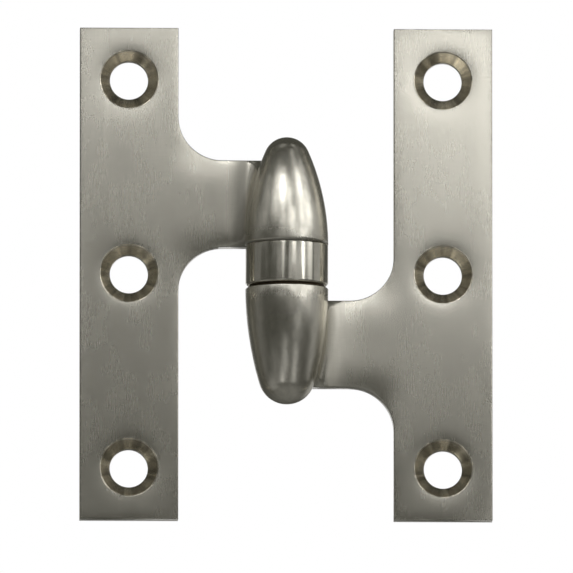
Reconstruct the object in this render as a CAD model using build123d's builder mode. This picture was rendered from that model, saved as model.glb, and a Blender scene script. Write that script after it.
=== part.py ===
"""Lift-off paumelle hinge with half-olive knuckles, laid open flat.

The pin axis is Z and the origin is on it, at half the height of the leaves.
The countersunk faces of the leaves look along -Y. The upper leaf is on the -X
side and turns on a ring that rides on the pin of the lower leaf. The lower
leaf is the same casting turned end for end about the Y axis, so both leaves
are drawn once, on a plane that is turned with them. Sizes are millimetres.
"""

from build123d import *
import math
import os

# Leaves
leaf_height = 76.2
leaf_reach = 31.75
strip_width = 15.15
leaf_thickness = 2.8
axis_rise = 2.6
edge_break = 0.15

# Necks between the strips and the knuckles
neck_height = 13.4
neck_step = 0.1
neck_end = 1.5
neck_end_round = 1.6
neck_fillet = 6.8
crease_fillet = 2.2

# Screw holes
hole_end_margin = 8.0
hole_count = 3
hole_radius = 2.95
countersink_radius = 4.45
countersink_angle = 82

# Knuckles, ring and washer, stacked on the pin
barrel_diameter = 12.76
collar_top = 4.05
collar_height = 6.4
washer_thickness = 0.3
washer_recess = 0.55
upper_knuckle_length = 16.75
lower_knuckle_length = 17.95
upper_tip_radius = 3.6
lower_tip_radius = 4.4
tip_inset = 1.9
lower_rim_break = 0.2
collar_top_break = 0.2
collar_bottom_break = 0.4

# Pin, pressed into the lower leaf and free to turn in the rest
pin_diameter = 6.35
pin_reach = 10.5
pin_seat = 12.0
pin_chamfer = 0.6
pin_headroom = 0.8
running_clearance = 0.05
press_bite = 0.01
bore_lead = 0.35
drill_point_angle = 118

# Places that follow from the sizes above
barrel_radius = barrel_diameter / 2
pin_radius = pin_diameter / 2
running_radius = pin_radius + running_clearance
press_radius = pin_radius - press_bite
neck_base = collar_top + neck_step
collar_bottom = collar_top - collar_height
lower_knuckle_top = collar_bottom - washer_thickness
pin_top = collar_top + pin_reach
pin_bottom = lower_knuckle_top - pin_seat
strip_centre = leaf_reach - strip_width / 2
strip_inner = leaf_reach - strip_width
hole_pitch = (leaf_height - 2 * hole_end_margin) / (hole_count - 1)

# The blend at the crease touches the flat of the neck this far from the axis,
# and the corner fillets keep clear of it.
crease_reach = math.sqrt((barrel_radius + crease_fillet) ** 2 - (axis_rise - crease_fillet) ** 2)
corner_room = 0.9 * (strip_inner - crease_reach)
corner_fillet = min(neck_fillet, corner_room)

# A tip stays narrower than its barrel, so that the flank beside the neck is one smooth face.
tip_room = barrel_radius - tip_inset
upper_tip = min(upper_tip_radius, tip_room)
lower_tip = min(lower_tip_radius, tip_room)


def cast_leaf(turn, base, length, tip_radius, bore_radius, bore_depth):
    """One cast leaf: strip, neck and half-olive knuckle with a blind bore.

    It is drawn with its strip to the left and its knuckle pointing up. A turn
    of -1 draws it end for end. The base of the knuckle is measured from the
    middle of the leaf towards the tip.
    """
    section = Plane(origin=(0, 0, 0), x_dir=(turn, 0, 0), z_dir=(0, -1, 0))
    front = section.offset(-axis_rise)
    drill_point = bore_radius / math.tan(math.radians(drill_point_angle / 2))
    neck_middle = neck_base + neck_height / 2
    neck_length = strip_centre - neck_end

    # The flank of the olive stands upright on its base and runs smoothly into the round tip.
    tip_centre = base + length - tip_radius
    tip_rise = length - tip_radius
    flank_radius = (tip_rise**2 + barrel_radius**2 - tip_radius**2) / (2 * (barrel_radius - tip_radius))
    flank_angle = math.degrees(math.atan2(tip_rise, flank_radius - barrel_radius))

    with BuildPart() as leaf:
        # The strip and the neck are one flat plate with rounded inner corners.
        with BuildSketch(front):
            with Locations((-strip_centre, 0)):
                Rectangle(strip_width, leaf_height)
            with Locations((-neck_end - neck_length / 2, neck_middle)):
                Rectangle(neck_length, neck_height)
        extrude(amount=-leaf_thickness)
        corners = (
            leaf.edges()
            .filter_by(Axis.Y)
            .filter_by(lambda edge: abs(abs(edge.center().X) - strip_inner) < 0.01)
            .filter_by(lambda edge: abs(edge.center().Z) < leaf_height / 2 - 0.01)
        )
        fillet(corners, radius=corner_fillet)
        neck_tail = (
            leaf.edges()
            .filter_by(Axis.Z)
            .filter_by(lambda edge: abs(abs(edge.center().X) - neck_end) < 0.01)
            .sort_by(Axis.Y)[-1]
        )
        fillet(neck_tail, radius=neck_end_round)
        front_edges = (
            leaf.edges()
            .filter_by(lambda edge: abs(edge.center().Y - axis_rise) < 0.01)
            .filter_by(lambda edge: abs(edge.center().X) > neck_end + 0.01)
        )
        chamfer(front_edges, length=edge_break)

        # The knuckle is a half olive turned about the pin axis.
        with BuildSketch(section):
            with BuildLine():
                CenterArc((barrel_radius - flank_radius, base), flank_radius, 0, flank_angle)
                CenterArc((0, tip_centre), tip_radius, flank_angle, 90 - flank_angle)
                Polyline((0, base + length), (0, base), (barrel_radius, base))
            make_face()
        revolve(axis=Axis(section.origin, section.y_dir), revolution_arc=360)

        # The neck sweeps forward into the side of the olive.
        crease = (
            leaf.edges()
            .filter_by(lambda edge: edge.geom_type != GeomType.LINE)
            .filter_by(lambda edge: abs(edge.center().Y - axis_rise) < 0.01)
            .filter_by(lambda edge: abs(edge.center().X) < barrel_radius)
        )
        fillet(crease, radius=crease_fillet)

        # A drilled blind bore takes the pin.
        with BuildSketch(section):
            with BuildLine():
                Polyline(
                    (0, base),
                    (bore_radius + bore_lead, base),
                    (bore_radius, base + bore_lead),
                    (bore_radius, base + bore_depth),
                    (0, base + bore_depth + drill_point),
                    close=True,
                )
            make_face()
        revolve(axis=Axis(section.origin, section.y_dir), mode=Mode.SUBTRACT)

        # Countersunk screw holes run down the middle of the strip.
        with Locations(front):
            with Locations((-strip_centre, 0)):
                with GridLocations(0, hole_pitch, 1, hole_count):
                    CounterSinkHole(
                        radius=hole_radius,
                        counter_sink_radius=countersink_radius,
                        counter_sink_angle=countersink_angle,
                    )
    return leaf.part


# Upper leaf, on the door, free on the pin
with BuildPart() as upper_leaf:
    add(
        cast_leaf(
            turn=1,
            base=collar_top,
            length=upper_knuckle_length,
            tip_radius=upper_tip,
            bore_radius=running_radius,
            bore_depth=pin_reach + pin_headroom,
        )
    )

# Lower leaf, on the frame, with the pin pressed in and the rim of its knuckle broken
with BuildPart() as lower_leaf:
    add(
        cast_leaf(
            turn=-1,
            base=-lower_knuckle_top,
            length=lower_knuckle_length,
            tip_radius=lower_tip,
            bore_radius=press_radius,
            bore_depth=pin_seat,
        )
    )
    knuckle_rim = lower_leaf.edges().filter_by(
        lambda edge: edge.geom_type == GeomType.CIRCLE
        and abs(edge.center().Z - lower_knuckle_top) < 0.01
        and edge.radius > pin_radius + bore_lead
    )
    chamfer(knuckle_rim, length=lower_rim_break)

# Pin
with BuildPart() as hinge_pin:
    with BuildSketch(Plane.XY.offset(pin_bottom)):
        Circle(pin_radius)
    extrude(amount=pin_top - pin_bottom)
    chamfer(hinge_pin.edges().filter_by(GeomType.CIRCLE), length=pin_chamfer)

# Ring that the upper leaf turns on
with BuildPart() as bearing_collar:
    with BuildSketch(Plane.XY.offset(collar_bottom)):
        Circle(barrel_radius)
        Circle(running_radius, mode=Mode.SUBTRACT)
    extrude(amount=collar_height)
    outer_rims = bearing_collar.edges().filter_by(
        lambda edge: edge.geom_type == GeomType.CIRCLE and edge.radius > running_radius + 0.01
    )
    chamfer(outer_rims.sort_by(Axis.Z)[-1], length=collar_top_break)
    chamfer(outer_rims.sort_by(Axis.Z)[0], length=collar_bottom_break)

# Washer in the groove under the ring
with BuildPart() as thrust_washer:
    with BuildSketch(Plane.XY.offset(lower_knuckle_top)):
        Circle(barrel_radius - washer_recess)
        Circle(running_radius, mode=Mode.SUBTRACT)
    extrude(amount=washer_thickness)

upper_leaf.part.label = "upper_leaf"
lower_leaf.part.label = "lower_leaf"
hinge_pin.part.label = "hinge_pin"
bearing_collar.part.label = "bearing_collar"
thrust_washer.part.label = "thrust_washer"

os.makedirs("parts", exist_ok=True)
export_step(upper_leaf.part, "parts/upper_leaf.step")
export_step(lower_leaf.part, "parts/lower_leaf.step")
export_step(hinge_pin.part, "parts/hinge_pin.step")
export_step(bearing_collar.part, "parts/bearing_collar.step")
export_step(thrust_washer.part, "parts/thrust_washer.step")
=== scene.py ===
"""Satin nickel finish, machined screw seats and a small studio for a paumelle hinge.

Every length is in metres. The pin axis is Z and the origin is on it, at half the height of the
leaves. The countersunk faces look along -Y. The upper leaf is on the -X side.
"""

import math

import bmesh
import bpy
from bpy.props import FloatProperty, FloatVectorProperty, IntProperty, PointerProperty
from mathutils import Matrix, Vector


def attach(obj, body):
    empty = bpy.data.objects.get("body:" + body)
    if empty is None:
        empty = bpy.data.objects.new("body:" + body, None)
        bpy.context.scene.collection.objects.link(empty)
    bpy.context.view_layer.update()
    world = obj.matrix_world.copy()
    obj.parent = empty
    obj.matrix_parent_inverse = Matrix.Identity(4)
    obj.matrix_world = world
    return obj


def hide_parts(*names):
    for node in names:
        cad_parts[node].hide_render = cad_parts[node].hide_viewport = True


bl_info = {
    "name": "Paumelle Hinge Finish",
    "version": (1, 0, 0),
    "blender": (4, 5, 0),
    "location": "3D View > Sidebar > Hinge",
    "description": "Dresses a cast paumelle hinge in brushed nickel and lights it",
    "category": "Object",
}

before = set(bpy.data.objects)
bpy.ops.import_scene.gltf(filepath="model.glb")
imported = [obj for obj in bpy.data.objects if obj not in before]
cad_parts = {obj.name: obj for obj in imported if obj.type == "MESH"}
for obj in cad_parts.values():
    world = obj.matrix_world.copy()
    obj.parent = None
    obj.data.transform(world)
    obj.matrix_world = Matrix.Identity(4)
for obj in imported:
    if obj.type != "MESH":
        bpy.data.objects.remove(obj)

# Places of the screw holes, as the casting has them
STRIP_CENTRE = 0.024175
HOLE_PITCH = 0.0301
HOLE_COUNT = 3
LEAF_FRONT = 0.0026
SEAT_RADIUS = 0.00445

# The necks between the strips and the knuckles, measured up or down from the origin
NECK_MIDDLE = 0.01085
NECK_HALF_HEIGHT = 0.0067

# The casting's front face gives way to its edges between these depths behind the face
FRONT_FADE = (0.0002, 0.001)

# Distances from the pin axis between which one look gives way to the next
CREASE_START = (0.0062, 0.0070)
CREASE_END = (0.0074, 0.0096)
POLISH_END = (0.0066, 0.0095)
STAIN_END = (0.0064, 0.0075)
NECK_START = (0.0064, 0.0085)
RISE_END = (0.0080, 0.0130)

# Distances across from the pin axis between which the neck opens into the strip
NECK_END = (0.0130, 0.0195)

# Width and length of the patches in the metal
CLOUD_SIZE = (0.005, 0.008)
WAVE_SIZE = (0.012, 0.018)
STAIN_SIZE = (0.0007, 0.0022)
BLOTCH_SIZE = (0.0007, 0.0007)
TURNED_SIZE = (0.002, 0.003)

# How far the patches and the brush lines sway the tone or the roughness either way, as shares
LINE_TONE = 0.025
BAND_TONE = 0.015
CLOUD_TONE = 0.03
CLOUD_ROUGHNESS = 0.04
LINE_ROUGHNESS = 0.02
TURNED_TONE = 0.05
TURNED_ROUGHNESS = 0.15
BLOTCH_ROUGHNESS = 0.2

# The same for patches that sway more one way than the other
STAIN_TONE = (-0.11, 0.07)
BLOTCH_TONE = (0.92, 1.05)

# Painted shade in the crease beside each knuckle: how light the metal's colour is left there, 1
# being no darkening
UPPER_CREASE_PAINTED_SHADE = 0.68
LOWER_CREASE_PAINTED_SHADE = 1.0

# Turned pieces: the distance between two tool marks, their depth, and what each is made of
RING_MARKS = {"mark_pitch": 0.00015, "mark_depth": 0.0000008}
PIN_STEEL = {
    "colour": (0.56, 0.57, 0.58),
    "roughness": 0.24,
    "mark_pitch": 0.00012,
    "mark_depth": 0.0000006,
}
# The washer's bronze is darkened far below bronze's own colour: painted shade for the dark groove
# under the ring
WASHER_BRONZE_PAINTED_SHADE = {
    "colour": (0.10, 0.075, 0.05),
    "roughness": 0.5,
    "mark_pitch": 0.00009,
    "mark_depth": 0.000001,
}

# Screw seats: broad light and dark sectors painted into the colour as painted reflections, which
# differ from seat to seat, and a tint that makes the cut metal browner than the leaf
PAINTED_REFLECTION_DENSITY = 2.6
PAINTED_REFLECTION_CONTRAST = (0.34, 0.66)
PAINTED_REFLECTION_TONE = (0.6, 1.5)
PAINTED_REFLECTION_CHANGE = 3.7
SEAT_TINT = (1.0, 0.97, 0.92)

# Meshes: how near two points are merged, how exactly a flat face looks along Y, the bend below
# which two faces are one, the corner that stays sharp, and the sockets that values need
MERGE_DISTANCE = 0.000002
SEAT_MERGE_DISTANCE = 0.0000005
FLAT_NORMAL = 0.99999
FLAT_BEND = math.radians(0.1)
SHARP_CORNER = math.radians(55)
SOCKET_KINDS = {float: "NodeSocketFloat", int: "NodeSocketInt", tuple: "NodeSocketVector"}

# Flat panels in one plane before the hinge. Each has its left, right, low and high edge, and the
# brightness of its face.
PANEL_PLANE = -0.16
PANELS = {
    "panel_far_left": (-0.150, -0.085, 0.075, 0.120, 1.0),
    "panel_far_left_low": (-0.085, -0.050, 0.010, 0.030, 0.4),
    "panel_left": (-0.050, -0.020, 0.050, 0.075, 1.5),
    "panel_left_low": (-0.050, -0.020, 0.030, 0.050, 0.4),
    "panel_left_high": (-0.050, -0.020, 0.075, 0.120, 1.2),
    "panel_middle": (0.010, 0.035, 0.050, 0.075, 1.2),
    "panel_middle_low": (0.010, 0.035, -0.010, 0.030, 0.4),
    "panel_middle_high": (0.010, 0.035, 0.075, 0.120, 2.5),
    "panel_right": (0.035, 0.065, 0.030, 0.075, 2.5),
    "panel_right_low": (0.035, 0.065, 0.010, 0.030, 0.4),
    "panel_far_right": (0.065, 0.120, 0.010, 0.030, 1.0),
    "panel_far_right_low": (0.065, 0.120, -0.035, -0.010, 0.5),
}

# Softboxes round the hinge, all at one distance. Each has the direction that it stands in, to the
# right and up, how wide and how high it looks, all in degrees, and the brightness of its face.
SOFTBOX_DISTANCE = 0.7
SOFTBOXES = {
    "key_left": (-16, 35, 10, 13, 5.5),
    "key_left_edge": (-4, 35, 10, 13, 0.6),
    "fill_left": (-40, 35, 10, 13, 0.6),
    "fill_left_wide": (-35, 38, 16, 12, 1.0),
    "key_right": (44, 35, 10, 13, 4.0),
    "key_right_edge": (32, 35, 10, 13, 0.6),
    "key_right_low": (44, 22, 11, 13, 2.8),
    "key_right_high": (32, 49, 8, 15, 0.8),
    "fill_right": (68, 35, 10, 13, 1.0),
    "fill_right_low": (68, 22, 11, 13, 1.7),
    "fill_right_wide": (62, 22, 23, 20, 0.5),
    "fill_right_high": (68, 49, 8, 15, 0.2),
    "crown_left": (-50, 70, 14, 20, 0.3),
    "crown_right": (68, 65, 5, 17, 0.8),
    "streak_left": (-12, 8, 4, 11, 1.0),
    "streak_right": (44, 8, 6, 11, 5.0),
    "streak_right_edge": (50, 8, 6, 11, 0.8),
    "side_left": (-70, 25, 23, 23, 0.3),
    "side_right": (65, 10, 18, 23, 0.7),
    "seat_left": (-98, 2, 38, 38, 0.1),
    "seat_right": (98, 2, 38, 38, 0.3),
    "under_left": (-8, -18, 11, 11, 0.7),
    "under_left_low": (-20, -29, 11, 11, 1.0),
    "under_right": (28, -18, 11, 11, 0.7),
    "under_right_low": (28, -29, 11, 11, 0.8),
    "under_side": (-75, -35, 28, 28, 0.2),
    "low_left": (-45, -25, 24, 24, 0.1),
    "rear_right": (135, -15, 40, 32, 0.35),
}

# The room's grey, and where it turns white towards +Y, on a scale from 0 at -Y to 1 at +Y
ROOM_LIGHT = (0.084, 0.084, 0.074)
WHITE_FROM = 0.95
WHITE_TO = 0.98

# The floor, and how much of what the camera sees of it is a glow of its own
FLOOR_ROUGHNESS = 0.8
FLOOR_GLOW = 0.85


# Settings


class NickelSettings(bpy.types.PropertyGroup):
    """Brushed nickel on the leaves, the knuckles and the ring."""

    colour: FloatVectorProperty(
        name="Nickel Colour",
        description="Colour of the plated metal",
        subtype="COLOR",
        size=3,
        min=0.0,
        max=1.0,
        default=(0.665, 0.64, 0.565),
    )
    plate_roughness: FloatProperty(
        name="Plate Roughness",
        description="Roughness of the flat strips and necks",
        subtype="FACTOR",
        min=0.0,
        max=1.0,
        default=0.27,
    )
    knuckle_roughness: FloatProperty(
        name="Knuckle Roughness",
        description="Roughness of the half-olive knuckles",
        subtype="FACTOR",
        min=0.0,
        max=1.0,
        default=0.25,
    )
    crease_roughness: FloatProperty(
        name="Crease Roughness",
        description="Roughness that the crease has beyond the faces beside it",
        subtype="FACTOR",
        min=0.0,
        max=1.0,
        default=0.22,
    )
    ring_roughness: FloatProperty(
        name="Ring Roughness",
        description="Roughness of the bearing ring",
        subtype="FACTOR",
        min=0.0,
        max=1.0,
        default=0.2,
    )
    leaf_brushing: FloatProperty(
        name="Leaf Brushing",
        description="How far reflections on the leaves are drawn out across the brush lines",
        subtype="FACTOR",
        min=0.0,
        max=1.0,
        default=0.7,
    )
    ring_brushing: FloatProperty(
        name="Ring Brushing",
        description="How far reflections on the ring are drawn out along the pin",
        subtype="FACTOR",
        min=0.0,
        max=1.0,
        default=0.8,
    )
    brush_width: FloatProperty(
        name="Brush Line Width",
        description="Width of one brush line",
        unit="LENGTH",
        min=0.00001,
        max=0.002,
        default=0.0002,
    )
    brush_length: FloatProperty(
        name="Brush Line Length",
        description="Length of one brush line",
        unit="LENGTH",
        min=0.0005,
        max=0.1,
        default=0.0035,
    )
    brush_depth: FloatProperty(
        name="Brush Line Depth",
        description="Depth of the brush lines",
        unit="LENGTH",
        min=0.0,
        max=0.0001,
        default=0.0000004,
    )
    wave_depth: FloatProperty(
        name="Wave Depth",
        description="Depth of the soft waves that hand polishing leaves",
        unit="LENGTH",
        min=0.0,
        max=0.002,
        default=0.0001,
    )
    neck_wear: FloatProperty(
        name="Neck Wear",
        description="How steeply the necks are worn round at their edges, as a slope",
        subtype="FACTOR",
        min=0.0,
        max=1.0,
        default=0.09,
    )
    neck_blend: FloatProperty(
        name="Neck Blend",
        description="How steeply the necks rise towards the knuckles before the crease, as a slope",
        subtype="FACTOR",
        min=0.0,
        max=1.0,
        default=0.12,
    )
    dish_depth: FloatProperty(
        name="Dish Depth",
        description="How much the face dips at the rim of a screw hole",
        unit="LENGTH",
        min=0.0,
        max=0.001,
        default=0.0001,
    )
    dish_reach: FloatProperty(
        name="Dish Reach",
        description="How far from the rim the dip fades out",
        unit="LENGTH",
        min=0.0001,
        max=0.01,
        default=0.0012,
    )
    wear: FloatProperty(
        name="Wear",
        description="How strongly polishing has rounded the faces towards their edges",
        subtype="FACTOR",
        min=0.0,
        max=1.0,
        default=0.12,
    )
    wear_reach: FloatProperty(
        name="Wear Reach",
        description="How far from an edge the rounding starts",
        unit="LENGTH",
        min=0.0,
        max=0.01,
        default=0.003,
    )
    edge_softness: FloatProperty(
        name="Edge Softness",
        description="Reach of the rounding along every edge",
        unit="LENGTH",
        min=0.0,
        max=0.002,
        default=0.00015,
    )


class SeatSettings(bpy.types.PropertyGroup):
    """Machined lining of the countersunk screw seats."""

    hole_radius: FloatProperty(
        name="Hole Radius",
        description="Radius of the screw hole",
        unit="LENGTH",
        min=0.001,
        max=0.01,
        default=0.00297,
    )
    rim_radius: FloatProperty(
        name="Rim Radius",
        description="Radius of the countersink at the face of the leaf",
        unit="LENGTH",
        min=0.001,
        max=0.02,
        default=SEAT_RADIUS,
    )
    half_angle: FloatProperty(
        name="Half Angle",
        description="Angle between the countersink's wall and its axis",
        subtype="ANGLE",
        min=0.2,
        max=1.4,
        default=math.radians(41),
    )
    lip_width: FloatProperty(
        name="Lip Width",
        description="Width of the polished lip round the rim",
        unit="LENGTH",
        min=0.0,
        max=0.001,
        default=0.00012,
    )
    rim_rounding: FloatProperty(
        name="Rim Rounding",
        description="Reach of the soft turn from the wall to the face",
        unit="LENGTH",
        min=0.0,
        max=0.001,
        default=0.00016,
    )
    ridge_pitch: FloatProperty(
        name="Ridge Pitch",
        description="Distance between two tool marks",
        unit="LENGTH",
        min=0.00002,
        max=0.001,
        default=0.00026,
    )
    ridge_height: FloatProperty(
        name="Ridge Height",
        description="Height of a tool mark",
        unit="LENGTH",
        min=0.0,
        max=0.0001,
        default=0.000001,
    )
    lift: FloatProperty(
        name="Lift",
        description="How far the lining stands proud of the casting",
        unit="LENGTH",
        min=0.0,
        max=0.0005,
        default=0.000035,
    )
    thickness: FloatProperty(
        name="Thickness",
        description="Thickness of the lining",
        unit="LENGTH",
        min=0.00001,
        max=0.001,
        default=0.00008,
    )
    roughness: FloatProperty(
        name="Seat Roughness",
        description="Roughness of the machined seats",
        subtype="FACTOR",
        min=0.0,
        max=1.0,
        default=0.2,
    )
    sides: IntProperty(
        name="Sides",
        description="Steps round one seat",
        min=12,
        max=256,
        default=96,
    )
    steps: IntProperty(
        name="Steps",
        description="Steps along the wall of one seat",
        min=6,
        max=128,
        default=40,
    )


class StudioSettings(bpy.types.PropertyGroup):
    """Camera, floor and surroundings."""

    camera_elevation: FloatProperty(
        name="Camera Elevation",
        description="Height of the camera above the hinge, as an angle",
        subtype="ANGLE",
        default=math.radians(-7.6),
    )
    camera_azimuth: FloatProperty(
        name="Camera Azimuth",
        description="How far the camera stands to the right of the hinge, as an angle",
        subtype="ANGLE",
        default=math.radians(-2.0),
    )
    camera_distance: FloatProperty(
        name="Camera Distance",
        description="Distance from the camera to the hinge",
        unit="LENGTH",
        min=0.2,
        max=10.0,
        default=4.0,
    )
    view_width: FloatProperty(
        name="View Width",
        description="Width that the camera sees at the hinge",
        unit="LENGTH",
        min=0.01,
        max=1.0,
        default=0.08810,
    )
    aim: FloatVectorProperty(
        name="Aim",
        description="Point that the camera looks at",
        subtype="TRANSLATION",
        unit="LENGTH",
        size=3,
        default=(-0.00005, 0.0, -0.00235),
    )
    floor_height: FloatProperty(
        name="Floor Height",
        description="Height of the floor",
        unit="LENGTH",
        default=-0.62,
    )
    floor_width: FloatProperty(
        name="Floor Width",
        description="Width and depth of the floor",
        unit="LENGTH",
        min=0.5,
        max=50.0,
        default=12.0,
    )
    floor_colour: FloatVectorProperty(
        name="Floor Colour",
        description="Colour of the floor",
        subtype="COLOR",
        size=3,
        min=0.0,
        max=1.0,
        default=(0.8, 0.8, 0.79),
    )


# Nodes and materials


def add_node(tree, kind, column, row, inputs=None, **settings):
    """A new node at a place on a grid, with its settings and the values of its inputs."""
    made = tree.nodes.new(kind)
    made.location = (column * 220, row * -240)
    for key, value in settings.items():
        setattr(made, key, value)
    for socket, value in (inputs or {}).items():
        made.inputs[socket].default_value = value
    return made


def new_material(name):
    """An empty material, with its tree and its Principled shader."""
    material = bpy.data.materials.new(name)
    material.use_nodes = True
    tree = material.node_tree
    tree.nodes.clear()
    shader = add_node(tree, "ShaderNodeBsdfPrincipled", 6, 0)
    output = add_node(tree, "ShaderNodeOutputMaterial", 8, 0)
    tree.links.new(shader.outputs["BSDF"], output.inputs["Surface"])
    return material, tree, shader


def streaks(tree, row, across, along, detail, seed):
    """Noise drawn out along Z, as brushing leaves it. Both sizes are metres."""
    place = add_node(tree, "ShaderNodeTexCoord", 0, row)
    stretch = add_node(
        tree,
        "ShaderNodeMapping",
        1,
        row,
        {"Location": (seed, seed * 2, seed * 3), "Scale": (1 / across, 1 / across, 1 / along)},
    )
    noise = add_node(
        tree,
        "ShaderNodeTexNoise",
        2,
        row,
        {"Scale": 1.0, "Detail": detail, "Roughness": 0.6, "Lacunarity": 2.0},
    )
    tree.links.new(place.outputs["Object"], stretch.inputs["Vector"])
    tree.links.new(stretch.outputs["Vector"], noise.inputs["Vector"])
    return noise.outputs["Fac"]


def remap(tree, column, row, value, low, high, start=0.3, stop=0.7, soft=False):
    """A value in start..stop taken to low..high, and held there outside."""
    ramp = add_node(
        tree,
        "ShaderNodeMapRange",
        column,
        row,
        {"From Min": start, "From Max": stop, "To Min": low, "To Max": high},
        interpolation_type="SMOOTHSTEP" if soft else "LINEAR",
    )
    tree.links.new(value, ramp.inputs["Value"])
    return ramp.outputs["Result"]


def swayed(tree, column, row, value, share, middle=1.0):
    """Noise turned into a number that sways by a share to either side of a middle."""
    return remap(tree, column, row, value, middle * (1 - share), middle * (1 + share))


def calculate(tree, column, row, operation, *values):
    """A Math node on sockets or plain numbers."""
    made = add_node(tree, "ShaderNodeMath", column, row, operation=operation)
    for socket, value in zip(made.inputs, values):
        if isinstance(value, bpy.types.NodeSocket):
            tree.links.new(value, socket)
        else:
            socket.default_value = value
    return made.outputs["Value"]


def total(tree, column, row, *values):
    """The sum of several sockets."""
    result = values[0]
    for step, value in enumerate(values[1:]):
        result = calculate(tree, column + step, row, "ADD", result, value)
    return result


def distance_from_pin(tree, row):
    """How far a point is from the pin axis."""
    place = add_node(tree, "ShaderNodeTexCoord", 0, row)
    flat = add_node(
        tree, "ShaderNodeVectorMath", 1, row, {1: (1.0, 1.0, 0.0)}, operation="MULTIPLY"
    )
    away = add_node(tree, "ShaderNodeVectorMath", 2, row, operation="LENGTH")
    tree.links.new(place.outputs["Object"], flat.inputs[0])
    tree.links.new(flat.outputs["Vector"], away.inputs[0])
    return away.outputs["Value"]


def level_tangent(tree, row):
    """A direction round the surface at right angles to Z, across vertical brush lines.

    A nudge along X keeps it from vanishing where the surface looks straight up or down.
    """
    surface = add_node(tree, "ShaderNodeNewGeometry", 3, row)
    cross = add_node(
        tree, "ShaderNodeVectorMath", 4, row, {0: (0.0, 0.0, 1.0)}, operation="CROSS_PRODUCT"
    )
    nudge = add_node(
        tree, "ShaderNodeVectorMath", 5, row, {1: (0.001, 0.0, 0.0)}, operation="ADD"
    )
    tree.links.new(surface.outputs["Normal"], cross.inputs[1])
    tree.links.new(cross.outputs["Vector"], nudge.inputs[0])
    return nudge.outputs["Vector"]


def object_axes(tree, row):
    """Where a point is along X, Y and Z, in the frame of its own object."""
    place = add_node(tree, "ShaderNodeTexCoord", 0, row)
    axes = add_node(tree, "ShaderNodeSeparateXYZ", 1, row)
    tree.links.new(place.outputs["Object"], axes.inputs["Vector"])
    return axes.outputs


def front_of_leaf(tree, row):
    """One on the front face of a leaf, and nothing on its edges and its back."""
    start, stop = (LEAF_FRONT + depth for depth in FRONT_FADE)
    return remap(tree, 2, row, object_axes(tree, row)["Y"], 1.0, 0.0, start, stop)


def neck_tilt(tree, row, amount, blend, away, neck_middle):
    """How far a leaf leans on its neck.

    The neck is worn round towards its edges, and it rises gently towards the knuckle. With u as
    the share of the way from its middle to its edge, the wear is u**3 * exp(k * (1 - u**4)), and
    with k = 0.75 it is steepest right at the edge.
    """
    k = 0.75
    axes = object_axes(tree, row)
    side = calculate(tree, 2, row + 1, "ABSOLUTE", axes["X"])
    from_middle = calculate(tree, 2, row, "SUBTRACT", axes["Z"], neck_middle)
    share = calculate(tree, 3, row, "DIVIDE", from_middle, NECK_HALF_HEIGHT)
    fourth = calculate(tree, 5, row, "POWER", calculate(tree, 4, row, "ABSOLUTE", share), 4.0)
    fading = calculate(
        tree, 7, row, "EXPONENT", calculate(tree, 6, row, "MULTIPLY_ADD", fourth, -k, k)
    )
    third = calculate(
        tree, 6, row + 1, "MULTIPLY", calculate(tree, 5, row + 1, "MULTIPLY", share, share), share
    )
    on_neck = calculate(
        tree,
        5,
        row + 2,
        "MULTIPLY",
        remap(tree, 3, row + 2, side, amount, 0.0, *NECK_END, soft=True),
        remap(tree, 4, row + 2, away, 0.0, 1.0, *NECK_START, soft=True),
    )
    worn = calculate(tree, 8, row, "MULTIPLY", third, fading)
    rise = calculate(
        tree,
        8,
        row + 2,
        "MULTIPLY",
        remap(tree, 6, row + 2, away, blend, 0.0, *RISE_END, soft=True),
        remap(tree, 7, row + 2, away, 0.0, 1.0, *NECK_START, soft=True),
    )
    lean = add_node(tree, "ShaderNodeCombineXYZ", 10, row)
    outward = calculate(tree, 8, row + 1, "SIGN", axes["X"])
    tree.links.new(calculate(tree, 9, row + 1, "MULTIPLY", rise, outward), lean.inputs["X"])
    tree.links.new(calculate(tree, 9, row, "MULTIPLY", worn, on_neck), lean.inputs["Z"])
    return lean.outputs["Vector"]


def from_nearest_hole(tree, row):
    """How far across and along the strip the nearest screw hole is, and which hole it is."""
    axes = object_axes(tree, row)
    side = calculate(tree, 2, row, "ABSOLUTE", axes["X"])
    across = calculate(tree, 3, row, "SUBTRACT", side, STRIP_CENTRE)
    pitches = calculate(tree, 2, row + 1, "DIVIDE", axes["Z"], HOLE_PITCH)
    nearest = calculate(tree, 3, row + 1, "ROUND", pitches)
    missed = calculate(tree, 4, row + 1, "SUBTRACT", pitches, nearest)
    along = calculate(tree, 5, row + 1, "MULTIPLY", missed, HOLE_PITCH)
    return across, along, nearest


def hole_dishes(tree, row, depth, reach):
    """The dip of the face towards every screw hole, as a height in metres."""
    across, along, _ = from_nearest_hole(tree, row)
    squares = calculate(
        tree,
        7,
        row,
        "ADD",
        calculate(tree, 6, row, "MULTIPLY", across, across),
        calculate(tree, 6, row + 1, "MULTIPLY", along, along),
    )
    centre_distance = calculate(tree, 8, row, "SQRT", squares)
    from_rim = calculate(tree, 9, row, "SUBTRACT", centre_distance, SEAT_RADIUS)
    fading = calculate(
        tree, 11, row, "EXPONENT", calculate(tree, 10, row, "DIVIDE", from_rim, -reach)
    )
    return calculate(tree, 12, row, "MULTIPLY", fading, -depth)


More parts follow.
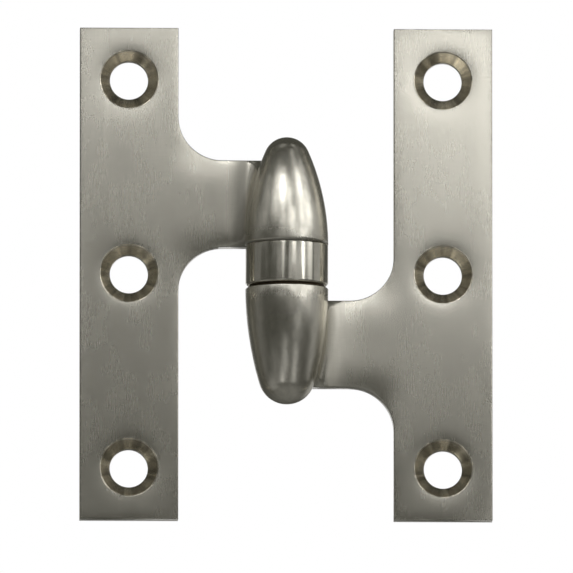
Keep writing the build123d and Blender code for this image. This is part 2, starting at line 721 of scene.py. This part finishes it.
def brushed_nickel(name, settings, seed, neck, crease_painted_shade):
    """Nickel brushed along Z, smoother near the pin axis where the knuckles are polished.

    Neck is the level of the middle of the leaf's neck, and crease painted shade is how light the
    colour is left in the crease beside the knuckle, which darkens it there as painted shade.
    """
    material, tree, shader = new_material(name)

    # Fine lines along and across the leaf, broad bands of them, clouds and slow waves
    grain = streaks(tree, 0, settings.brush_width, settings.brush_length, 2.0, seed)
    weft = streaks(tree, 1, settings.brush_length * 0.6, settings.brush_width, 2.0, seed + 3)
    band = streaks(tree, 2, settings.brush_width * 9, settings.brush_length * 2, 2.0, seed + 5)
    cloud = streaks(tree, 3, *CLOUD_SIZE, 3.0, seed + 9)
    wave = streaks(tree, 4, *WAVE_SIZE, 0.5, seed + 12)

    away = distance_from_pin(tree, 5)
    crease = calculate(
        tree,
        5,
        8,
        "MULTIPLY",
        remap(tree, 3, 8, away, 0.0, 1.0, *CREASE_START, soft=True),
        remap(tree, 4, 8, away, 1.0, 0.0, *CREASE_END, soft=True),
    )

    # Tone: the lines, bands and clouds, and painted shade that darkens the crease
    tone = calculate(
        tree,
        4,
        0,
        "MULTIPLY",
        swayed(tree, 3, 0, grain, LINE_TONE),
        swayed(tree, 3, 1, weft, LINE_TONE),
    )
    tone = calculate(tree, 5, 0, "MULTIPLY", tone, swayed(tree, 4, 1, band, BAND_TONE))
    tone = calculate(tree, 6, 1, "MULTIPLY", tone, swayed(tree, 5, 1, cloud, CLOUD_TONE))
    # Painted shade: the colour is darkened in the crease beside the knuckle, by the crease's painted
    # shade
    tone = calculate(
        tree, 6, 2, "MULTIPLY", tone, remap(tree, 5, 2, crease, 1.0, crease_painted_shade, 0.0, 1.0)
    )

    # The knuckles are stained in small patches
    knuckle = remap(tree, 3, 13, away, 1.0, 0.0, *STAIN_END, soft=True)
    patches = streaks(tree, 14, *STAIN_SIZE, 3.0, seed + 20)
    stain = calculate(
        tree, 4, 14, "MULTIPLY", knuckle, remap(tree, 3, 14, patches, *STAIN_TONE)
    )
    tone = calculate(
        tree, 7, 2, "MULTIPLY", tone, calculate(tree, 5, 14, "ADD", stain, 1.0)
    )
    colour = add_node(tree, "ShaderNodeVectorMath", 7, 1, {0: settings.colour}, operation="SCALE")
    tree.links.new(tone, colour.inputs["Scale"])
    tree.links.new(colour.outputs["Vector"], shader.inputs["Base Color"])

    # Roughness: the plates are coarser than the knuckles, and the crease between them most of all
    plate = remap(
        tree,
        3,
        5,
        away,
        settings.knuckle_roughness,
        settings.plate_roughness,
        *POLISH_END,
        soft=True,
    )
    base = calculate(
        tree, 4, 6, "ADD", plate, remap(tree, 3, 6, crease, 0.0, settings.crease_roughness, 0.0, 1.0)
    )
    uneven = calculate(tree, 5, 5, "MULTIPLY", base, swayed(tree, 4, 5, cloud, CLOUD_ROUGHNESS))
    rough = calculate(tree, 7, 5, "MULTIPLY", uneven, swayed(tree, 6, 5, grain, LINE_ROUGHNESS))
    tree.links.new(rough, shader.inputs["Roughness"])

    # Shape: lines, waves and dips, in metres, over softened edges, and the lean of the neck
    height = total(
        tree,
        5,
        3,
        calculate(tree, 4, 3, "MULTIPLY", grain, settings.brush_depth),
        calculate(tree, 4, 4, "MULTIPLY", weft, settings.brush_depth * 0.5),
        calculate(tree, 4, 2, "MULTIPLY", wave, settings.wave_depth),
    )
    front = front_of_leaf(tree, 15)
    dips = hole_dishes(tree, 7, settings.dish_depth, settings.dish_reach)
    height = total(tree, 14, 7, height, calculate(tree, 13, 7, "MULTIPLY", dips, front))
    edges = add_node(tree, "ShaderNodeBevel", 14, 4, {"Radius": settings.edge_softness}, samples=6)
    wide = add_node(tree, "ShaderNodeBevel", 14, 5, {"Radius": settings.wear_reach}, samples=8)
    worn = add_node(tree, "ShaderNodeMix", 15, 4, {"Factor": settings.wear}, data_type="VECTOR")
    bump = add_node(tree, "ShaderNodeBump", 16, 3, {"Strength": 1.0, "Distance": 1.0})
    tree.links.new(edges.outputs["Normal"], worn.inputs["A"])
    tree.links.new(wide.outputs["Normal"], worn.inputs["B"])
    tree.links.new(height, bump.inputs["Height"])
    tree.links.new(worn.outputs["Result"], bump.inputs["Normal"])
    leaning = add_node(tree, "ShaderNodeVectorMath", 16, 5, operation="ADD")
    lean = neck_tilt(tree, 9, settings.neck_wear, settings.neck_blend, away, neck)
    tree.links.new(bump.outputs["Normal"], leaning.inputs[0])
    front_lean = add_node(tree, "ShaderNodeVectorMath", 15, 9, operation="SCALE")
    tree.links.new(lean, front_lean.inputs[0])
    tree.links.new(front, front_lean.inputs["Scale"])
    tree.links.new(front_lean.outputs["Vector"], leaning.inputs[1])
    even = add_node(tree, "ShaderNodeVectorMath", 17, 5, operation="NORMALIZE")
    tree.links.new(leaning.outputs["Vector"], even.inputs[0])
    tree.links.new(even.outputs["Vector"], shader.inputs["Normal"])
    tree.links.new(level_tangent(tree, 6), shader.inputs["Tangent"])
    shader.inputs["Metallic"].default_value = 1.0
    shader.inputs["Anisotropic"].default_value = settings.leaf_brushing
    return material


def turned_metal(name, colour, roughness, mark_pitch, mark_depth, brushing=0.0, softness=0.0):
    """Metal turned on a lathe about Z, with fine rings along its length.

    Brushing draws reflections out along Z, and softness is the reach of its rounded edges. A tool
    mark changes once in the run length on its way round.
    """
    run_length = 0.025
    material, tree, shader = new_material(name)
    place = add_node(tree, "ShaderNodeTexCoord", 0, 0)
    stretch = add_node(
        tree,
        "ShaderNodeMapping",
        1,
        0,
        {"Scale": (1 / run_length, 1 / run_length, 1 / mark_pitch)},
    )
    rings = add_node(
        tree, "ShaderNodeTexNoise", 2, 0, {"Scale": 1.0, "Detail": 3.0, "Roughness": 0.55}
    )
    tree.links.new(place.outputs["Object"], stretch.inputs["Vector"])
    tree.links.new(stretch.outputs["Vector"], rings.inputs["Vector"])
    cloud = streaks(tree, 1, *TURNED_SIZE, 3.0, 11)
    tone = calculate(
        tree,
        4,
        0,
        "MULTIPLY",
        swayed(tree, 3, 0, rings.outputs["Fac"], TURNED_TONE),
        swayed(tree, 3, 1, cloud, TURNED_TONE),
    )
    tint = add_node(tree, "ShaderNodeVectorMath", 5, 0, {0: colour}, operation="SCALE")
    tree.links.new(tone, tint.inputs["Scale"])
    tree.links.new(tint.outputs["Vector"], shader.inputs["Base Color"])
    rough = swayed(tree, 3, 2, cloud, TURNED_ROUGHNESS, roughness)
    tree.links.new(rough, shader.inputs["Roughness"])
    bump = add_node(tree, "ShaderNodeBump", 5, 2, {"Strength": 1.0, "Distance": mark_depth})
    tree.links.new(rings.outputs["Fac"], bump.inputs["Height"])
    if softness:
        edges = add_node(tree, "ShaderNodeBevel", 4, 3, {"Radius": softness}, samples=6)
        tree.links.new(edges.outputs["Normal"], bump.inputs["Normal"])
    tree.links.new(bump.outputs["Normal"], shader.inputs["Normal"])
    if brushing:
        upright = add_node(tree, "ShaderNodeCombineXYZ", 5, 4, {"X": 0.001, "Z": 1.0})
        tree.links.new(upright.outputs["Vector"], shader.inputs["Tangent"])
    shader.inputs["Metallic"].default_value = 1.0
    shader.inputs["Anisotropic"].default_value = brushing
    return material


def machined_nickel(name, colour, roughness):
    """Cut nickel in the screw seats, with broad light and dark sectors painted into its colour as
    painted reflections.
    """
    material, tree, shader = new_material(name)
    blotch = streaks(tree, 0, *BLOTCH_SIZE, 3.0, 3)
    across, along, nearest = from_nearest_hole(tree, 2)
    bearing = add_node(tree, "ShaderNodeVectorMath", 7, 3, operation="NORMALIZE")
    flat = add_node(tree, "ShaderNodeCombineXYZ", 6, 3)
    tree.links.new(across, flat.inputs["X"])
    tree.links.new(along, flat.inputs["Y"])
    tree.links.new(flat.outputs["Vector"], bearing.inputs[0])
    seat = add_node(tree, "ShaderNodeCombineXYZ", 7, 4)
    tree.links.new(
        calculate(tree, 6, 4, "MULTIPLY", nearest, PAINTED_REFLECTION_CHANGE), seat.inputs["Z"]
    )
    around = add_node(tree, "ShaderNodeVectorMath", 8, 3, operation="ADD")
    tree.links.new(bearing.outputs["Vector"], around.inputs[0])
    tree.links.new(seat.outputs["Vector"], around.inputs[1])
    # Painted reflections: broad light and dark sectors round each hole, changing from seat to seat
    painted_reflections = add_node(
        tree,
        "ShaderNodeTexNoise",
        9,
        3,
        {"Scale": PAINTED_REFLECTION_DENSITY, "Detail": 2.0, "Roughness": 0.6},
    )
    tree.links.new(around.outputs["Vector"], painted_reflections.inputs["Vector"])
    tone = calculate(
        tree,
        11,
        0,
        "MULTIPLY",
        remap(tree, 3, 0, blotch, *BLOTCH_TONE),
        remap(tree, 10, 3, painted_reflections.outputs["Fac"], *PAINTED_REFLECTION_TONE, *PAINTED_REFLECTION_CONTRAST),
    )
    tinted = tuple(channel * share for channel, share in zip(colour, SEAT_TINT))
    shaded = add_node(tree, "ShaderNodeVectorMath", 12, 0, {0: tinted}, operation="SCALE")
    tree.links.new(tone, shaded.inputs["Scale"])
    tree.links.new(shaded.outputs["Vector"], shader.inputs["Base Color"])
    rough = swayed(tree, 3, 1, blotch, BLOTCH_ROUGHNESS, roughness)
    tree.links.new(rough, shader.inputs["Roughness"])
    shader.inputs["Metallic"].default_value = 1.0
    return material


# Pieces


def smooth_copy(node_name, piece_name, material, body):
    """A merged and smoothly shaded copy of a CAD node, which stands for the node."""
    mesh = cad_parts[node_name].data.copy()
    mesh.name = piece_name
    shape = bmesh.new()
    shape.from_mesh(mesh)
    bmesh.ops.remove_doubles(shape, verts=shape.verts, dist=MERGE_DISTANCE)
    shape.normal_update()
    flat_edges = [
        edge
        for edge in shape.edges
        if all(abs(face.normal.y) > FLAT_NORMAL for face in edge.link_faces)
    ]
    flat_points = {vert for edge in flat_edges for vert in edge.verts}
    bmesh.ops.dissolve_limit(
        shape, angle_limit=FLAT_BEND, verts=list(flat_points), edges=flat_edges
    )
    shape.to_mesh(mesh)
    shape.free()
    mesh.shade_smooth()
    mesh.set_sharp_from_angle(angle=SHARP_CORNER)
    mesh.materials.clear()
    mesh.materials.append(material)

    piece = bpy.data.objects.new(piece_name, mesh)
    bpy.context.scene.collection.objects.link(piece)
    weighted = piece.modifiers.new("Flat faces stay flat", "WEIGHTED_NORMAL")
    weighted.mode = "FACE_AREA"
    weighted.keep_sharp = True
    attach(piece, body)
    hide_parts(node_name)


class HINGE_OT_dress_leaves(bpy.types.Operator):
    """Dress both cast leaves in brushed nickel"""

    bl_idname = "hinge.dress_leaves"
    bl_label = "Dress Leaves"

    def execute(self, context):
        nickel = context.scene.hinge_nickel
        # The upper leaf's crease gets painted shade, the lower leaf's none
        for side, seed, neck, crease_painted_shade in (
            ("upper", 1, NECK_MIDDLE, UPPER_CREASE_PAINTED_SHADE),
            ("lower", 4, -NECK_MIDDLE, LOWER_CREASE_PAINTED_SHADE),
        ):
            metal = brushed_nickel(
                f"brushed_nickel_{side}_leaf", nickel, seed, neck, crease_painted_shade
            )
            smooth_copy(f"{side}_leaf", f"{side}_leaf_brushed", metal, side)
        return {"FINISHED"}


class HINGE_OT_dress_ring(bpy.types.Operator):
    """Dress the bearing ring in turned nickel"""

    bl_idname = "hinge.dress_ring"
    bl_label = "Dress Bearing Ring"

    def execute(self, context):
        nickel = context.scene.hinge_nickel
        metal = turned_metal(
            "turned_nickel_ring",
            nickel.colour,
            nickel.ring_roughness,
            brushing=nickel.ring_brushing,
            softness=nickel.edge_softness,
            **RING_MARKS,
        )
        smooth_copy("bearing_collar", "bearing_ring_turned", metal, "ring")
        return {"FINISHED"}


class HINGE_OT_dress_pin(bpy.types.Operator):
    """Dress the pin in ground steel"""

    bl_idname = "hinge.dress_pin"
    bl_label = "Dress Pin"

    def execute(self, context):
        steel = turned_metal("ground_steel", **PIN_STEEL)
        smooth_copy("hinge_pin", "hinge_pin_ground", steel, "lower")
        return {"FINISHED"}


class HINGE_OT_dress_washer(bpy.types.Operator):
    """Dress the washer under the ring in bronze, darkened as painted shade in the groove"""

    bl_idname = "hinge.dress_washer"
    bl_label = "Dress Washer"

    def execute(self, context):
        bronze = turned_metal("washer_bronze", **WASHER_BRONZE_PAINTED_SHADE)
        smooth_copy("thrust_washer", "thrust_washer_bronze", bronze, "lower")
        return {"FINISHED"}


def seat_values(seats, strip):
    """The sizes of the linings on one strip, under the names of the sockets that take them."""
    return {
        "Hole Radius": seats.hole_radius,
        "Rim Radius": seats.rim_radius,
        "Half Angle": seats.half_angle,
        "Lip Width": seats.lip_width,
        "Rim Rounding": seats.rim_rounding,
        "Ridge Pitch": seats.ridge_pitch,
        "Ridge Height": seats.ridge_height,
        "Lift": seats.lift,
        "Thickness": seats.thickness,
        "Seat Pitch": HOLE_PITCH,
        "Sides": seats.sides,
        "Steps": seats.steps,
        "Seats": HOLE_COUNT,
        "First Seat": (strip, LEAF_FRONT, -HOLE_PITCH * (HOLE_COUNT - 1) / 2),
    }


def seat_tree(material, values):
    """Geometry nodes for a column of countersink linings with concentric tool marks.

    A square grid is rolled up twice: its X runs out along the front of the lining and back along
    its rear, and its Y runs round the hole.
    """
    tree = bpy.data.node_groups.new("Screw Seat Linings", "GeometryNodeTree")
    tree.is_modifier = True
    face = tree.interface
    face.new_socket("Geometry", in_out="OUTPUT", socket_type="NodeSocketGeometry")
    for name, value in values.items():
        face.new_socket(name, in_out="INPUT", socket_type=SOCKET_KINDS[type(value)])
    given = add_node(tree, "NodeGroupInput", 0, 0)
    size = given.outputs

    grid = add_node(tree, "GeometryNodeMeshGrid", 3, 0, {"Size X": 1.0, "Size Y": 1.0})
    doubled = calculate(tree, 1, 0, "MULTIPLY", size["Steps"], 2.0)
    tree.links.new(calculate(tree, 2, 0, "ADD", doubled, 1.0), grid.inputs["Vertices X"])
    tree.links.new(calculate(tree, 2, -1, "ADD", size["Sides"], 1.0), grid.inputs["Vertices Y"])
    where = add_node(tree, "GeometryNodeInputPosition", 1, 2)
    axes = add_node(tree, "ShaderNodeSeparateXYZ", 2, 2)
    tree.links.new(where.outputs["Position"], axes.inputs["Vector"])
    trip = calculate(tree, 3, 2, "ADD", axes.outputs["X"], 0.5)
    turn = calculate(tree, 3, 3, "MULTIPLY", axes.outputs["Y"], math.tau)

    # The way out is the front, and the last column closes the loop on it again
    just_past_turn, nearly_back = 0.501, 0.999
    is_front = calculate(
        tree,
        5,
        3,
        "ADD",
        calculate(tree, 4, 3, "LESS_THAN", trip, just_past_turn),
        calculate(tree, 4, 4, "GREATER_THAN", trip, nearly_back),
    )
    is_rear = calculate(tree, 6, 3, "SUBTRACT", 1.0, is_front)
    share = calculate(tree, 5, 2, "PINGPONG", calculate(tree, 4, 2, "MULTIPLY", trip, 2.0), 1.0)

    outside = calculate(tree, 5, 4, "ADD", size["Rim Radius"], size["Lip Width"])
    reach = calculate(tree, 6, 4, "SUBTRACT", outside, size["Hole Radius"])
    radius = calculate(tree, 7, 2, "MULTIPLY_ADD", share, reach, size["Hole Radius"])
    inward = calculate(tree, 8, 3, "SUBTRACT", size["Rim Radius"], radius)
    slope = calculate(tree, 7, 4, "TANGENT", size["Half Angle"])
    cone = calculate(tree, 9, 3, "DIVIDE", inward, slope)
    depth = calculate(tree, 10, 3, "SMOOTH_MAX", cone, 0.0, size["Rim Rounding"])

    # Tool marks and the lift stand on the front, and the rear is one thickness deeper
    pitches = calculate(tree, 8, 5, "DIVIDE", inward, size["Ridge Pitch"])
    ripples = calculate(
        tree, 10, 5, "SINE", calculate(tree, 9, 5, "MULTIPLY", math.tau, pitches)
    )
    marks = calculate(tree, 11, 5, "MULTIPLY", ripples, size["Ridge Height"])
    front = calculate(tree, 12, 4, "SUBTRACT", marks, size["Lift"])
    offset = calculate(
        tree,
        14,
        4,
        "ADD",
        calculate(tree, 13, 4, "MULTIPLY", front, is_front),
        calculate(tree, 13, 5, "MULTIPLY", size["Thickness"], is_rear),
    )
    level = calculate(tree, 15, 3, "ADD", depth, offset)

    rolled = add_node(tree, "ShaderNodeCombineXYZ", 16, 2)
    tree.links.new(
        calculate(tree, 15, 1, "MULTIPLY", radius, calculate(tree, 14, 1, "COSINE", turn)),
        rolled.inputs["X"],
    )
    tree.links.new(level, rolled.inputs["Y"])
    tree.links.new(
        calculate(tree, 15, 2, "MULTIPLY", radius, calculate(tree, 14, 2, "SINE", turn)),
        rolled.inputs["Z"],
    )
    shaped = add_node(tree, "GeometryNodeSetPosition", 17, 0)
    tree.links.new(grid.outputs["Mesh"], shaped.inputs["Geometry"])
    tree.links.new(rolled.outputs["Vector"], shaped.inputs["Position"])
    closed = add_node(
        tree, "GeometryNodeMergeByDistance", 18, 0, {"Distance": SEAT_MERGE_DISTANCE}
    )
    tree.links.new(shaped.outputs["Geometry"], closed.inputs["Geometry"])

    row = add_node(tree, "GeometryNodeMeshLine", 18, 2, mode="OFFSET")
    step = add_node(tree, "ShaderNodeCombineXYZ", 17, 3)
    tree.links.new(size["Seat Pitch"], step.inputs["Z"])
    tree.links.new(size["Seats"], row.inputs["Count"])
    tree.links.new(size["First Seat"], row.inputs["Start Location"])
    tree.links.new(step.outputs["Vector"], row.inputs["Offset"])
    copies = add_node(tree, "GeometryNodeInstanceOnPoints", 19, 0)
    tree.links.new(row.outputs["Mesh"], copies.inputs["Points"])
    tree.links.new(closed.outputs["Geometry"], copies.inputs["Instance"])
    realized = add_node(tree, "GeometryNodeRealizeInstances", 20, 0)
    dressed = add_node(tree, "GeometryNodeSetMaterial", 21, 0, {"Material": material})
    done = add_node(tree, "NodeGroupOutput", 22, 0)
    tree.links.new(copies.outputs["Instances"], realized.inputs["Geometry"])
    tree.links.new(realized.outputs["Geometry"], dressed.inputs["Geometry"])
    tree.links.new(dressed.outputs["Geometry"], done.inputs["Geometry"])
    return tree


class HINGE_OT_line_seats(bpy.types.Operator):
    """Line the countersunk screw seats with concentric tool marks"""

    bl_idname = "hinge.line_seats"
    bl_label = "Line Screw Seats"

    def execute(self, context):
        seats = context.scene.hinge_seats
        colour = context.scene.hinge_nickel.colour
        metal = machined_nickel("machined_nickel", colour, seats.roughness)
        tree = seat_tree(metal, seat_values(seats, STRIP_CENTRE))
        for side, strip in (("upper", -STRIP_CENTRE), ("lower", STRIP_CENTRE)):
            values = seat_values(seats, strip)
            mesh = bpy.data.meshes.new("seat_host")
            host = bpy.data.objects.new("seat_host", mesh)
            context.scene.collection.objects.link(host)
            maker = host.modifiers.new("Screw seats", "NODES")
            maker.node_group = tree
            for item in tree.interface.items_tree:
                if item.in_out == "INPUT":
                    maker[item.identifier] = values[item.name]
            evaluated = host.evaluated_get(context.evaluated_depsgraph_get())
            lining = bpy.data.meshes.new_from_object(evaluated)
            bpy.data.objects.remove(host)
            lining.name = f"{side}_leaf_seats"
            if not lining.polygons:
                raise RuntimeError("The screw seats have no faces")
            lining.shade_smooth()
            piece = bpy.data.objects.new(f"{side}_leaf_seats", lining)
            context.scene.collection.objects.link(piece)
            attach(piece, side)
        return {"FINISHED"}


# Studio


def direction(azimuth, elevation):
    """Unit vector from the hinge towards a place round it. Angles are radians."""
    return Vector(
        (
            math.sin(azimuth) * math.cos(elevation),
            -math.cos(azimuth) * math.cos(elevation),
            math.sin(elevation),
        )
    )


def softbox(name, place, width, height, light):
    """A rectangular lamp that faces the hinge. Light is the brightness of its face."""
    lamp = bpy.data.lights.new(name, "AREA")
    lamp.shape = "RECTANGLE"
    lamp.size = width
    lamp.size_y = height
    lamp.energy = math.pi * width * height * light
    box = bpy.data.objects.new(name, lamp)
    bpy.context.scene.collection.objects.link(box)
    box.location = place
    box.rotation_euler = place.to_track_quat("Z", "Y").to_euler()
    box.visible_camera = False


def near_panel(name, left, right, low, high, light):
    """A softbox that spans a rectangle of the plane before the hinge."""
    middle = Vector(((left + right) / 2, PANEL_PLANE, (low + high) / 2))
    softbox(name, middle, right - left, high - low, light)


def far_softbox(name, azimuth, elevation, width, height, light):
    """A softbox in a direction from the hinge, as large as two angles there. All are degrees."""
    place = SOFTBOX_DISTANCE * direction(math.radians(azimuth), math.radians(elevation))
    across = 2 * SOFTBOX_DISTANCE * math.tan(math.radians(width / 2))
    upward = 2 * SOFTBOX_DISTANCE * math.tan(math.radians(height / 2))
    softbox(name, place, across, upward, light)


class HINGE_OT_studio(bpy.types.Operator):
    """Set up the floor, the softboxes, the surroundings and the camera"""

    bl_idname = "hinge.studio"
    bl_label = "Set Up Studio"

    def execute(self, context):
        studio = context.scene.hinge_studio
        self.lay_floor(context, studio)
        for name, panel in PANELS.items():
            near_panel(name, *panel)
        for name, box in SOFTBOXES.items():
            far_softbox(name, *box)
        self.paint_surroundings(context)
        self.place_camera(context, studio)
        context.scene.view_settings.view_transform = "Standard"
        return {"FINISHED"}

    def lay_floor(self, context, studio):
        shape = bmesh.new()
        bmesh.ops.create_grid(shape, x_segments=1, y_segments=1, size=studio.floor_width / 2)
        bmesh.ops.translate(shape, verts=shape.verts, vec=(0, 0, studio.floor_height))
        mesh = bpy.data.meshes.new("floor")
        shape.to_mesh(mesh)
        shape.free()
        material, tree, shader = new_material("pale_floor")
        shader.inputs["Base Color"].default_value = (*studio.floor_colour, 1.0)
        shader.inputs["Roughness"].default_value = FLOOR_ROUGHNESS
        glow = add_node(tree, "ShaderNodeEmission", 6, 2, {"Color": (*studio.floor_colour, 1.0)})
        seen = add_node(tree, "ShaderNodeLightPath", 5, -1)
        share = add_node(tree, "ShaderNodeMath", 6, -1, {1: FLOOR_GLOW}, operation="MULTIPLY")
        mix = add_node(tree, "ShaderNodeMixShader", 7, 0)
        output = next(node for node in tree.nodes if node.type == "OUTPUT_MATERIAL")
        tree.links.new(seen.outputs["Is Camera Ray"], share.inputs[0])
        tree.links.new(share.outputs["Value"], mix.inputs["Fac"])
        tree.links.new(shader.outputs["BSDF"], mix.inputs[1])
        tree.links.new(glow.outputs["Emission"], mix.inputs[2])
        tree.links.new(mix.outputs["Shader"], output.inputs["Surface"])
        mesh.materials.append(material)
        floor = bpy.data.objects.new("floor", mesh)
        context.scene.collection.objects.link(floor)

    def paint_surroundings(self, context):
        """White wherever the camera looks and straight behind the hinge, grey elsewhere."""
        world = bpy.data.worlds.new("studio_room")
        context.scene.world = world
        world.use_nodes = True
        tree = world.node_tree
        tree.nodes.clear()
        place = add_node(tree, "ShaderNodeTexCoord", 0, 1)
        axes = add_node(tree, "ShaderNodeSeparateXYZ", 1, 1)
        ramp = add_node(tree, "ShaderNodeValToRGB", 2, 1)
        grey, white = ramp.color_ramp.elements
        grey.position = WHITE_FROM
        grey.color = (*ROOM_LIGHT, 1.0)
        white.position = WHITE_TO
        white.color = (1.0, 1.0, 1.0, 1.0)
        centred = add_node(
            tree, "ShaderNodeMath", 1, 2, {1: 0.5, 2: 0.5}, operation="MULTIPLY_ADD"
        )
        room = add_node(tree, "ShaderNodeBackground", 4, 1)
        paper = add_node(tree, "ShaderNodeBackground", 4, 0, {"Color": (1.0, 1.0, 1.0, 1.0)})
        light_path = add_node(tree, "ShaderNodeLightPath", 4, -1)
        seen = add_node(tree, "ShaderNodeMath", 5, -1, operation="MAXIMUM")
        mix = add_node(tree, "ShaderNodeMixShader", 6, 0)
        output = add_node(tree, "ShaderNodeOutputWorld", 7, 0)
        tree.links.new(place.outputs["Generated"], axes.inputs["Vector"])
        tree.links.new(axes.outputs["Y"], centred.inputs[0])
        tree.links.new(centred.outputs["Value"], ramp.inputs["Fac"])
        tree.links.new(ramp.outputs["Color"], room.inputs["Color"])
        tree.links.new(light_path.outputs["Is Camera Ray"], seen.inputs[0])
        tree.links.new(light_path.outputs["Is Transmission Ray"], seen.inputs[1])
        tree.links.new(seen.outputs["Value"], mix.inputs["Fac"])
        tree.links.new(room.outputs["Background"], mix.inputs[1])
        tree.links.new(paper.outputs["Background"], mix.inputs[2])
        tree.links.new(mix.outputs["Shader"], output.inputs["Surface"])

    def place_camera(self, context, studio):
        data = bpy.data.cameras.new("photo_camera")
        data.sensor_fit = "HORIZONTAL"
        data.sensor_width = 36.0
        data.lens = data.sensor_width * studio.camera_distance / studio.view_width
        data.clip_start = 0.05
        data.clip_end = 50.0
        camera = bpy.data.objects.new("photo_camera", data)
        context.scene.collection.objects.link(camera)
        away = direction(studio.camera_azimuth, studio.camera_elevation)
        camera.location = Vector(studio.aim) + away * studio.camera_distance
        camera.rotation_euler = away.to_track_quat("Z", "Y").to_euler()
        context.scene.camera = camera


class HINGE_PT_finish(bpy.types.Panel):
    """Lists the settings and the steps that dress the hinge"""

    bl_idname = "HINGE_PT_finish"
    bl_label = "Paumelle Hinge"
    bl_space_type = "VIEW_3D"
    bl_region_type = "UI"
    bl_category = "Hinge"

    def draw(self, context):
        layout = self.layout
        layout.use_property_split = True
        metals = (
            HINGE_OT_dress_leaves,
            HINGE_OT_dress_ring,
            HINGE_OT_dress_pin,
            HINGE_OT_dress_washer,
        )
        for heading, settings, steps in (
            ("Metal", context.scene.hinge_nickel, metals),
            ("Screw Seats", context.scene.hinge_seats, (HINGE_OT_line_seats,)),
            ("Studio", context.scene.hinge_studio, (HINGE_OT_studio,)),
        ):
            box = layout.box()
            box.label(text=heading)
            for key in settings.__annotations__:
                box.prop(settings, key)
            for step in steps:
                box.operator(step.bl_idname)


CLASSES = (
    NickelSettings,
    SeatSettings,
    StudioSettings,
    HINGE_OT_dress_leaves,
    HINGE_OT_dress_ring,
    HINGE_OT_dress_pin,
    HINGE_OT_dress_washer,
    HINGE_OT_line_seats,
    HINGE_OT_studio,
    HINGE_PT_finish,
)


def register():
    for cls in CLASSES:
        bpy.utils.register_class(cls)
    bpy.types.Scene.hinge_nickel = PointerProperty(type=NickelSettings)
    bpy.types.Scene.hinge_seats = PointerProperty(type=SeatSettings)
    bpy.types.Scene.hinge_studio = PointerProperty(type=StudioSettings)


def unregister():
    del bpy.types.Scene.hinge_studio
    del bpy.types.Scene.hinge_seats
    del bpy.types.Scene.hinge_nickel
    for cls in reversed(CLASSES):
        bpy.utils.unregister_class(cls)


def main():
    """Dress the hinge, line its screw seats and light it."""
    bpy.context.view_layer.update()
    register()
    bpy.ops.hinge.dress_leaves()
    bpy.ops.hinge.dress_ring()
    bpy.ops.hinge.dress_pin()
    bpy.ops.hinge.dress_washer()
    bpy.ops.hinge.line_seats()
    bpy.ops.hinge.studio()


if __name__ == "__main__":
    main()
